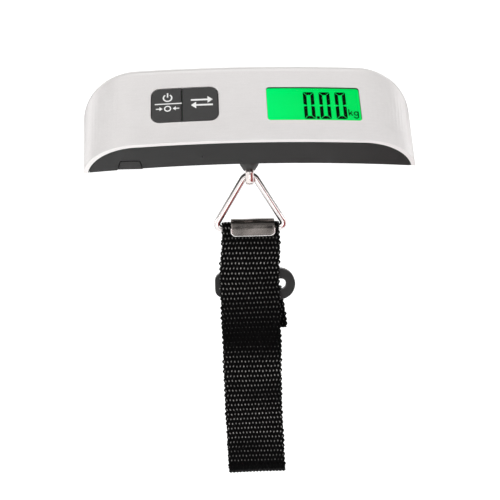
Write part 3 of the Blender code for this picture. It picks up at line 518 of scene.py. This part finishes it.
# ---------------------------------------------------------------- display
def zero(x, s):
    """Outlines of the six segments of a seven-segment zero, whose lower left corner is at (x, s)."""
    wide, tall, stroke = DIGIT_WIDTH, DIGIT_HEIGHT, DIGIT_STROKE
    gap, notch, middle = 0.12 * stroke, 0.3 * stroke, tall / 2

    def level(outer, inner):
        return [(gap, outer), (wide - gap, outer), (wide - gap - stroke, inner), (gap + stroke, inner)]

    def upper(outer, inner):
        return [(outer, tall - gap), (inner, tall - gap - stroke), (inner, middle + gap),
                (outer, middle + gap + notch)]

    def lower(outer, inner):
        return [(outer, middle - gap - notch), (inner, middle - gap), (inner, gap + stroke), (outer, gap)]

    left, right = (0, stroke), (wide, wide - stroke)
    segments = [level(tall, tall - stroke), upper(*right), lower(*right),
                level(0, stroke), lower(*left), upper(*left)]
    return [[(x + px, s + py) for px, py in points] for points in segments]


def kilogram_sign(x, s):
    """Strokes of the unit's two small letters, which start at (x, s) on their base line."""
    half, bowl = 0.25, 0.85
    return [
        bar_shape((x, s), (x, s + 3.3), half),
        bar_shape((x + 0.2, s + 0.9), (x + 1.45, s + 2.2), half),
        bar_shape((x + 0.55, s + 1.25), (x + 1.55, s), half),
        arc_shape((x + 3.0, s + 1.1), bowl, half, 0, 359, 20),
        bar_shape((x + 3.85, s + 2.15), (x + 3.85, s - 0.5), half),
        arc_shape((x + 3.0, s - 0.45), bowl, half, 180, 355, 14),
    ]


def widened(span, amount):
    return span[0] - amount, span[1] + amount


def display():
    """The lit digits behind the window, and the lining of the window's opening."""
    shapes = []
    for x in DIGITS_X:
        shapes += zero(x, DIGIT_S)
    corners = ((0, 0), (POINT_SIZE, 0), (POINT_SIZE, POINT_SIZE), (0, POINT_SIZE))
    shapes.append([(POINT_X + dx, DIGIT_S + ds) for dx, ds in corners])
    shapes += kilogram_sign(*UNIT_PLACE)
    plate("display_segments", shapes, *DISPLAY_LEVELS, INK_BLACK, "handle", display_point)
    # painted shade: the lining's outer part near the face is dark for the recess's shadow
    frame_wall("window_dark_edge", -0.85, -0.2, GAP_SHADE)
    frame_wall("window_lit_edge", -3.2, -0.87, LCD)


def frame_wall(name, low, high, mat):
    """Thin wall lining the window's opening between two depths."""
    outer, inner = (rounded_outline(widened(WINDOW_X, grow), widened(WINDOW_S, grow), WINDOW_CORNER + grow)
                    for grow in (0.03, -0.12))
    verts, faces, count = [], [], len(outer)
    for level in (low, high):
        verts += [face_point(x, s, level) for x, s in outer] + [face_point(x, s, level) for x, s in inner]
    for i in range(count):
        j = (i + 1) % count
        faces += [(i, j, count + j, count + i), (2 * count + i, 3 * count + i, 3 * count + j, 2 * count + j),
                  (i, 2 * count + i, 2 * count + j, j), (count + i, count + j, 3 * count + j, 3 * count + i)]
    build(name, verts, faces, mat, "handle")


# ---------------------------------------------------------------- keys
def keys():
    """The signs printed on the keys: power over zero on the left one, change of unit on the right one."""
    x, s = POWER_PLACE
    low = s - 5.6
    shapes = [
        arc_shape((x, s), 1.75, 0.30, 125, 415, 30),
        bar_shape((x, s + 0.2), (x, s + 2.5), 0.30),
        bar_shape((x - 5.4, s - 3.1), (x + 5.9, s - 3.1), 0.27),
        arc_shape((x, low), 1.25, 0.27, 0, 360, 26),
        *arrow((x - 2.1, low), (x - 4.9, low), 0.25, 1.3),
        *arrow((x + 2.1, low), (x + 4.9, low), 0.25, 1.3),
    ]
    plate("power_and_tare_signs", shapes, *PRINT_LEVELS, INK_WHITE, "power_button")
    x, s = UNIT_SIGN
    reach, apart = 4.6, 1.35
    shapes = arrow((x + reach, s + apart), (x - reach, s + apart), 0.42, 2.2)
    shapes += arrow((x - reach, s - apart), (x + reach, s - apart), 0.42, 2.2)
    plate("unit_change_signs", shapes, *PRINT_LEVELS, INK_WHITE, "unit_button")


def trims():
    """Small rounded edges round the keypad and the window."""
    outline = rounded_outline(widened(PAD_X, 0.35), widened(PAD_S, 0.35), 4.1, 10, 16)
    build("keypad_edge", *tube([face_point(x, s, -0.08) for x, s in outline], 0.22, 10), SILVER, "handle")
    outline = rounded_outline(widened(WINDOW_X, 0.3), widened(WINDOW_S, 0.3), 1.5, 8, 20)
    build("window_edge", *tube([face_point(x, s, -0.1) for x, s in outline], 0.18, 8), SILVER, "handle")


def parting_line():
    """The gap between the silver rim and the base, along the front arch, as a dark tube of painted shade."""
    wide, tall = RIM_CORNER
    foot = crown(RIM_HALF_WIDTH)
    level = RIM_HALF_WIDTH - wide
    top = RIM_HEIGHT + crown(level)
    end = max(foot + 0.5, top - tall)
    last = math.asin((end - top + tall) / tall)
    reach = wide / math.cos(last)
    right = [(level * i / 30, RIM_HEIGHT + crown(level * i / 30)) for i in range(30)]
    for i in range(33):
        turn = math.pi / 2 + (last - math.pi / 2) * i / 32
        right.append((level + reach * math.cos(turn), top - tall + tall * math.sin(turn)))
    right.append((RIM_HALF_WIDTH, foot + 0.25))
    arch = [(-x, z) for x, z in reversed(right[1:])] + right
    points = [(x, FRONT_Y + 0.12, z - 0.12) for x, z in arch]
    build("parting_line", *tube(points, 0.24, 8, close=False), GAP_SHADE, "handle")


# ---------------------------------------------------------------- eye and ring
def ring_path():
    """Centre line of the ring's wire: two lower bends and the apex, joined by straight runs."""
    foot = RING_HALF_WIDTH - RING_WIRE - RING_BEND
    low, high = RING_BAR_Z + RING_BEND, RING_TOP_Z - RING_TOP_BEND
    lean = math.atan2(foot, high - low)
    lean += math.asin((RING_BEND - RING_TOP_BEND) / math.hypot(foot, high - low))
    lean = math.degrees(lean)
    arcs = [arc_points((-foot, low), RING_BEND, 180 - lean, 270, 26),
            arc_points((foot, low), RING_BEND, 270, 360 + lean, 26),
            arc_points((0.0, high), RING_TOP_BEND, lean, 180 - lean, 26)]
    return [(x, 0.0, z) for x, z in joined(arcs, 14)]


def turned(profile, sides, stretch_y=1.0):
    """Vertices and faces of a (radius, z) profile turned about the load's axis."""
    verts, faces = [], []
    for r, z in profile:
        turns = [2 * math.pi * j / sides for j in range(sides)]
        verts += [(r * math.cos(a), r * math.sin(a) * stretch_y, z) for a in turns]
    for i in range(len(profile) - 1):
        for j in range(sides):
            k = (j + 1) % sides
            faces.append((i * sides + j, i * sides + k, (i + 1) * sides + k, (i + 1) * sides + j))
    return verts, faces


def squared(value):
    """Share of a radius for an outline between a circle and a square."""
    return math.copysign(abs(value) ** 0.62, value)


def ring():
    wire = build("ring_wire", *tube(ring_path(), RING_WIRE, 28), CHROME, "ring")
    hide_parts("triangle_ring")


def eye():
    """Forged eye: an upright loop of oval section under a shank with a threaded end."""
    steps, sides = 72, 28
    loop = []
    for i in range(steps):
        turn = 2 * math.pi * (i + 0.5) / steps
        out = Vector((0, squared(math.cos(turn)), squared(math.sin(turn))))
        loop.append(Vector((0, 0, EYE_Z)) + out * EYE_RADIUS)
    verts, faces = [], []
    for i, point in enumerate(loop):
        ahead = (loop[(i + 1) % steps] - loop[i - 1]).normalized()
        out = Vector((0, ahead.z, -ahead.y))
        for j in range(sides):
            a = 2 * math.pi * j / sides
            side = Vector((EYE_HALF_WIDTH * math.cos(a), 0, 0))
            verts.append(point + out * (EYE_HALF_THICK * math.sin(a)) + side)
    for i in range(steps):
        for j in range(sides):
            k, m = (i + 1) % steps, (j + 1) % sides
            faces.append((i * sides + j, k * sides + j, k * sides + m, i * sides + m))
    loop_piece = build("eye_loop", verts, faces, EYE_PLATE, "hook")
    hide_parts("hook_eye")
    profile = [(1.95, EYE_Z + 3.7), (1.75, EYE_Z + 4.2), (1.55, -1.6), (SHANK_RADIUS, -0.4)]
    z = THREAD_Z[0]
    while z < THREAD_Z[1]:
        profile += [(SHANK_RADIUS, z), (SHANK_RADIUS - 0.18, z + 0.18), (SHANK_RADIUS, z + 0.36)]
        z += 0.4
    profile += [(SHANK_RADIUS - 0.3, SHANK_TOP_Z), (0.01, SHANK_TOP_Z)]
    shank = build("eye_shank", *turned(profile, 32), EYE_PLATE, "hook")


def collar():
    """The boss under the base, closed round the eye's shank."""
    profile = [(1.8, -0.3), (1.8, -1.3), (2.1, -1.4), (2.1, -4.5), (2.2, -4.6), (2.4, -4.6), (2.55, -4.45),
               (3.1, -3.6), (3.9, -2.4), (4.2, -1.6), (4.3, -1.2), (4.3, -0.3), (1.8, -0.3)]
    boss = build("collar_moulding", *turned(profile, 48, stretch_y=1.2), COLLAR, "hook")
    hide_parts("hook_collar")


# ---------------------------------------------------------------- webbing
def eased(start, end, steps):
    """Points between two ends, leaving and arriving upright, without the ends themselves."""
    points = []
    for i in range(1, steps):
        t = i / steps
        share = t * t * (3 - 2 * t)
        points.append((start[0] + (end[0] - start[0]) * share, start[1] + (end[1] - start[1]) * t))
    return points


def webbing_line():
    """The webbing's centre line in (y, z), from its hidden end to its sewn end, as two runs."""
    wrap = RING_WIRE + TOUCH_GAP + WEB_HALF_THICK
    bar = arc_points((0.0, RING_BAR_Z), wrap, 0, 180, 24)
    fold = arc_points((FOLD_Y, FOLD_Z), FOLD_RADIUS, 180, 360, 28)
    main = [(wrap, RING_BAR_Z - 6.5)] + bar + eased(bar[-1], fold[0], 24) + fold
    radius = BUCKLE_BAR_HALF * math.sqrt(2) + 2 * TOUCH_GAP + WEB_HALF_THICK
    over = arc_points((BUCKLE_Y, BUCKLE_Z), radius, 180, 0, 24)
    rear_y = BUCKLE_Y + 1.1
    front_y = rear_y - 1.8
    meeting = BUCKLE_Z - 7.5
    split, start = ((FOLD_Y + FOLD_RADIUS, z) for z in (SPLIT_Z, FLEX_Z))
    tail = [start] + eased(start, (front_y, meeting), 20) + [(front_y, meeting)]
    tail += eased((front_y, meeting), over[0], 12) + over
    tail += eased(over[-1], (rear_y, meeting), 12) + [(rear_y, meeting), (rear_y, TAIL_END_Z)]
    return main + [split], [split] + tail


def resampled(points, step):
    """The line at even steps, and the length run at each of its points."""
    points = np.array(points, float)
    runs = np.concatenate([[0.0], np.cumsum(np.hypot(*np.diff(points, axis=0).T))])
    count = max(2, int(round(runs[-1] / step)) + 1)
    at = np.linspace(0.0, runs[-1], count)
    line = np.stack([np.interp(at, runs, points[:, 0]), np.interp(at, runs, points[:, 1])], 1)
    return line, at


def normals_along(line):
    ahead = np.gradient(line, axis=0)
    ahead /= np.hypot(*ahead.T)[:, None]
    return np.stack([-ahead[:, 1], ahead[:, 0]], 1)


def sheet_faces(rows, columns):
    """Faces of a closed sheet whose vertices are two grids of rows by columns, one for each side."""
    grid = np.arange(2 * rows * columns).reshape(2, rows, columns)
    faces = []
    for g in grid:
        faces += np.stack([g[:-1, :-1], g[:-1, 1:], g[1:, 1:], g[1:, :-1]], -1).reshape(-1, 4).tolist()
    for a, b in ((grid[0, :, 0], grid[1, :, 0]), (grid[0, :, -1], grid[1, :, -1]),
                 (grid[0, 0], grid[1, 0]), (grid[0, -1], grid[1, -1])):
        faces += np.stack([a[:-1], a[1:], b[1:], b[:-1]], -1).tolist()
    return faces


def outline_across(line, at, along, share, spread, end_shift):
    """Sideways place of each point: beaded edges, and the lean and spread of a hung strap."""
    uneven = 0.8 + 0.35 * np.sin(along * 1.9 + 0.4) * np.sin(along * 0.37)
    bead = BEAD_REACH * uneven * np.abs(np.cos(math.pi * along / ROW_PITCH)) ** 0.8
    heights, drifts, spreads = zip(*HANG)
    half = WEB_WIDTH / 2 - 0.5 + bead + spread * np.interp(line[:, 1], heights, spreads)
    late = np.clip(1.0 - (at[-1] - at) / TAIL_DRIFT_RUN, 0.0, 1.0)
    drift = 0.18 * np.sin(along * 0.11) + 0.10 * np.sin(along * 0.29 + 1.3)
    drift = drift + np.interp(line[:, 1], heights, drifts) + end_shift * late * late * (3 - 2 * late)
    return share[None, :] * half[:, None] + drift[:, None]


def woven(name, points, offset, body, spread=1.0, end_shift=0.0, hem=0.0):
    """A run of plain-woven webbing with ribs across it, warp floats standing proud and beaded edges.
    Its last stretch drifts sideways by end_shift, and its sewn end is thicker by hem."""
    line, at = resampled(points, STEP_ALONG)
    for _ in range(4):
        line[1:-1] = (line[:-2] + 2 * line[1:-1] + line[2:]) / 4
    normal = normals_along(line)
    along = at + offset
    rows, columns = len(line), int(round(WEB_WIDTH / STEP_ACROSS)) + 1
    share = np.linspace(-1.0, 1.0, columns)
    across = outline_across(line, at, along, share, spread, end_shift)
    u = share[None, :] * (WEB_WIDTH / 2)
    v = along[:, None]
    jitter = 0.10 * np.sin(u * 1.7 + v * 0.21) + 0.12 * np.sin(v * 0.13 + u * 0.16)
    row = (v + jitter) * (math.pi / ROW_PITCH)
    lift = np.cos(2 * math.pi * u / DOT_PITCH) * np.cos(row)
    floats = np.sign(lift) * np.abs(lift) ** 0.75
    rib = 0.5 + 0.5 * np.cos(2 * row)
    edge = np.clip((1.0 - np.abs(share)) / 0.05, 0.0, 1.0)[None, :]
    seam = 0.9 + 0.1 * np.sin(v * 0.35 + 0.5)
    doubled = hem * np.clip(1.0 - (at[-1] - at - HEM_RUN) / 0.8, 0.0, 1.0)[:, None]
    body_half = SELVEDGE_HALF_THICK + 0.20 * np.sqrt(edge) + doubled
    fade = np.clip(np.minimum(at, at[-1] - at) / 6.0, 0.0, 1.0)[:, None]
    sway = (0.12 * np.sin(v * 0.07 + 0.8) + 0.05 * np.sin(u * 0.25 + v * 0.11)) * fade
    verts = np.zeros((2, rows, columns, 3))
    for index, side in enumerate((1, -1)):
        relief = (side * FLOAT_HEIGHT * floats * seam + RIB_HEIGHT * rib) * edge
        level = sway + side * (body_half + relief)
        verts[index, :, :, 0] = across
        verts[index, :, :, 1] = line[:, None, 0] + normal[:, None, 0] * level
        verts[index, :, :, 2] = line[:, None, 1] + normal[:, None, 1] * level
    obj = build(name, verts.reshape(-1, 3).tolist(), sheet_faces(rows, columns), WEBBING, body)
    height = line[:, 1]
    # painted shade: the webbing's lighter colour dimmed at the fold's bottom and in a band near z -78, where
    # the hung strap is in shade
    wear_and_painted_shade = np.clip((height + 141.0) / 5.0, 0.25, 1.0) * (1.0 - 0.3 * np.exp(-((height + 78.0) / 8.0) ** 2))
    # painted highlight on the raised floats and rib crests, dimmed by the painted shade, stored as the
    # relief attribute
    painted_light_level = (0.35 + 0.65 * rib) * wear_and_painted_shade[:, None]
    painted_highlight = np.stack([0.5 + 0.5 * floats, 0.5 - 0.5 * floats]) * painted_light_level[None]
    obj.data.attributes.new("relief", "FLOAT", "POINT").data.foreach_set("value", painted_highlight.reshape(-1))
    return obj, float(at[-1])


def webbing():
    main, tail = webbing_line()
    front, length = woven("webbing_front_run", main, 0.0, "strap")
    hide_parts("webbing_strap")
    back, tail_length = woven("webbing_back_run", tail, length, None, spread=0.3, end_shift=TAIL_DRIFT,
                              hem=HEM_THICK)
    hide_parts("webbing_tail")
    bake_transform(back)


# ---------------------------------------------------------------- clip
def clip():
    """Crimped steel clip: a sheet bent over the webbing, with rounded lower corners."""
    radius = RING_WIRE + 2 * WEB_HALF_THICK + 3 * TOUCH_GAP + CLIP_THICK
    drop = (CLIP_END_Z - RING_BAR_Z) / 12
    path = [(radius, CLIP_END_Z)]
    path += [(radius, RING_BAR_Z + drop * i) for i in range(11, 0, -1)]
    path += arc_points((0.0, RING_BAR_Z), radius, 0, 180, 28)
    path += [(-radius, RING_BAR_Z + drop * i) for i in range(1, 13)]
    line, at = resampled(path, 0.3)
    normal = normals_along(line)
    columns = 48
    verts = []
    for side in (1, -1):
        for i, place in enumerate(at):
            end = min(place, at[-1] - place)
            inset = CLIP_CORNER - math.sqrt(CLIP_CORNER ** 2 - max(CLIP_CORNER - end, 0.0) ** 2)
            reach = CLIP_HALF_WIDTH - inset
            for j in range(columns):
                x = (2 * j / (columns - 1) - 1) * reach
                edge = min(reach - abs(x), end)
                thick = CLIP_THICK - 0.12 * max(0.0, 1 - edge / CLIP_THICK) ** 2
                level = side * thick + 0.05 * math.sin(x * 0.5 + place * 0.4)
                verts.append((x + CLIP_X, *(line[i] + normal[i] * level)))
    sheet_metal = build("clip_sheet", verts, sheet_faces(len(at), columns), CLIP, "strap")
    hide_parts("webbing_clip")
    clip_rim("front", -radius - 0.18)
    clip_rim("rear", radius + 0.18)


def clip_rim(label, y):
    """Rolled rim down the clip's sides and along its lower edge, with rounded corners, in a lighter copy of
    the clip's steel as a painted highlight.
    """
    foot_x, foot_z = CLIP_HALF_WIDTH - CLIP_CORNER, CLIP_END_Z + CLIP_CORNER
    corner = arc_points((foot_x, foot_z), CLIP_CORNER, 270, 360, 9)
    right = [*corner[1:], (CLIP_HALF_WIDTH, RING_BAR_Z + 0.6)]
    outline = [(-x, z) for x, z in reversed(right)]
    outline += [(foot_x * (i / 6 - 1), CLIP_END_Z) for i in range(13)]
    outline += right
    points = [(x + CLIP_X, y, z) for x, z in outline]
    rim = build(f"clip_rim_{label}", *tube(points, 0.26, 12, close=False), RIM_PAINTED_HIGHLIGHT, "strap")


# ---------------------------------------------------------------- room, light and camera
def room():
    """A pale floor that curves up into a wall all round."""
    profile = [(FLOOR_RADIUS * i / 6, FLOOR_Z) for i in range(1, 7)]
    profile += [(FLOOR_RADIUS + CURVE_RADIUS * math.sin(a), FLOOR_Z + CURVE_RADIUS * (1 - math.cos(a)))
                for a in (math.pi / 2 * i / 16 for i in range(1, 17))]
    profile.append((FLOOR_RADIUS + CURVE_RADIUS, WALL_TOP_Z))
    sides = 96
    turns = [2 * math.pi * j / sides for j in range(sides)]
    verts = [(0.0, 0.0, FLOOR_Z)]
    verts += [(r * math.cos(a), r * math.sin(a), z) for r, z in profile for a in turns]
    faces = [(0, 1 + j, 1 + (j + 1) % sides) for j in range(sides)]
    for i in range(len(profile) - 1):
        for j in range(sides):
            k = (j + 1) % sides
            a, b = 1 + i * sides, 1 + (i + 1) * sides
            faces.append((a + j, b + j, b + k, a + k))
    mesh = bpy.data.meshes.new("pale_floor")
    mesh.from_pydata(verts, [], faces)
    mesh.shade_smooth()
    m = Nodes("pale_floor")
    m.set(Base_Color=m.ramp(m.noise(3.0, 3.0), [(0.3, (0.90, 0.90, 0.90)), (0.7, (0.93, 0.93, 0.93))]))
    m.set(Roughness=0.9, Specular_IOR_Level=0.1, Emission_Color=(1.0, 1.0, 1.0), Emission_Strength=0.35)
    mesh.materials.append(m.mat)
    obj = bpy.data.objects.new("pale_floor", mesh)
    bpy.context.scene.collection.objects.link(obj)


def light(name, place, target, size, power):
    """A soft panel, with its place, target and size in metres."""
    data = bpy.data.lights.new(name, "AREA")
    data.shape = "RECTANGLE"
    data.size, data.size_y = size
    data.energy = power
    obj = bpy.data.objects.new(name, data)
    obj.location = place
    obj.rotation_euler = (Vector(target) - Vector(place)).to_track_quat("-Z", "Y").to_euler()
    bpy.context.scene.collection.objects.link(obj)


def lights():
    world = bpy.data.worlds.new("studio")
    world.use_nodes = True
    world.node_tree.nodes["Background"].inputs["Color"].default_value = (1, 1, 1, 1)
    world.node_tree.nodes["Background"].inputs["Strength"].default_value = 0.42
    bpy.context.scene.world = world
    light("key", (-0.55, -0.75, 0.85), (0, 0, 0), (0.7, 0.7), 2.6)
    light("fill", (0.9, -0.5, 0.35), (0, 0, 0), (0.6, 0.8), 0.9)
    light("top", (0.0, 0.15, 1.1), (0, 0, 0), (1.0, 0.6), 1.6)
    light("rear", (0.3, 0.9, 0.4), (0, 0, 0), (0.8, 0.6), 0.8)
    light("left_end", (-0.75, -0.15, 0.25), (-0.06, 0, 0.02), (0.3, 0.5), 0.6)
    light("right_end", (0.75, -0.15, 0.25), (0.06, 0, 0.02), (0.3, 0.5), 0.35)


def flags():
    """Cards all round that only show in reflections, for contrast in the bright metal and the dark plastic.
    Each is a name, a colour, a glow, and a place and a size in metres. All face the ring."""
    ring_place = Vector((0, 0, -0.02))
    cards = (
        ("black", (0.012, 0.012, 0.012), 0.0, (0.0, -1.0, 0.2), (0.14, 0.8)),
        ("floor", (0.02, 0.018, 0.018), 0.0, (-0.006, -0.62, -0.22), (0.075, 0.3)),
        ("rose", (0.30, 0.06, 0.06), 0.0, (0.42, -0.35, -0.05), (0.45, 0.34)),
        ("rose_low", (0.30, 0.05, 0.05), 0.0, (0.25, -0.17, -0.26), (0.5, 0.4)),
        ("crimson", (0.05, 0.01, 0.01), 0.0, (0.21, -0.60, -0.03), (0.13, 0.3)),
        ("edge_left", (0.02, 0.02, 0.02), 0.0, (-0.5, 0.7, 0.2), (0.4, 0.34)),
        ("edge_right", (0.02, 0.015, 0.015), 0.0, (0.5, 0.7, 0.2), (0.4, 0.34)),
        ("low_right", (0.02, 0.012, 0.012), 0.0, (0.2, 0.38, -0.26), (0.34, 0.24)),
        ("low_left", (0.02, 0.02, 0.02), 0.0, (-0.2, 0.38, -0.26), (0.34, 0.24)),
        ("glow_left", (0.8, 0.8, 0.8), 2.4, (-0.15, -0.95, -0.19), (0.2, 0.2)),
        ("glow_right", (0.8, 0.8, 0.8), 2.0, (0.14, -0.95, -0.19), (0.16, 0.2)),
    )
    for name, colour, glow, place, (wide, tall) in cards:
        m = Nodes(f"{name}_card")
        m.set(Base_Color=m.ramp(m.noise(4.0), [(0.3, colour), (0.7, scaled(colour, 1.3))]), Roughness=0.9)
        m.set(Emission_Color=(1.0, 1.0, 1.0), Emission_Strength=glow)
        mesh = bpy.data.meshes.new(f"{name}_card")
        corners = [(x * wide / 2, y * tall / 2, 0) for x, y in ((-1, -1), (1, -1), (1, 1), (-1, 1))]
        mesh.from_pydata(corners, [], [(0, 1, 2, 3)])
        mesh.materials.append(m.mat)
        card = bpy.data.objects.new(f"{name}_card", mesh)
        card.location = place
        card.rotation_euler = (ring_place - Vector(place)).to_track_quat("Z", "Y").to_euler()
        bpy.context.scene.collection.objects.link(card)
        card.visible_camera = False
        card.visible_diffuse = False
        card.visible_shadow = False


def camera():
    """The product view: a long lens, a little above the handle, turned and tilted slightly."""
    yaw, down, roll = math.radians(2.5), math.radians(12.0), math.radians(1.0)
    ahead = Vector((math.sin(yaw) * math.cos(down), math.cos(yaw) * math.cos(down), -math.sin(down)))
    level = Vector((math.cos(yaw), -math.sin(yaw), 0))
    upright = level.cross(ahead)
    right = level * math.cos(roll) - upright * math.sin(roll)
    up = level * math.sin(roll) + upright * math.cos(roll)
    data = bpy.data.cameras.new("camera")
    data.sensor_width = 36.0
    data.lens = 66.96
    data.clip_start = 0.01
    obj = bpy.data.objects.new("camera", data)
    turn = Matrix((right, up, -ahead)).transposed().to_4x4()
    obj.matrix_world = Matrix.Translation(LOOK_AT - ahead * LOOK_DISTANCE) @ turn
    bpy.context.scene.collection.objects.link(obj)
    bpy.context.scene.camera = obj


# ---------------------------------------------------------------- build it all
for name, width in (("strap_buckle", 0.55), ("battery_door", 0.2), ("power_key", 0.12),
                    ("unit_key", 0.12), ("hook_nut", 0.15), ("load_cell_beam", 0.15)):
    soften(name, width)
display()
keys()
trims()
parting_line()
ring()
eye()
collar()
webbing()
clip()
room()
lights()
flags()
camera()
bpy.context.scene.view_settings.view_transform = "Standard"
bpy.context.scene.view_settings.look = "None"
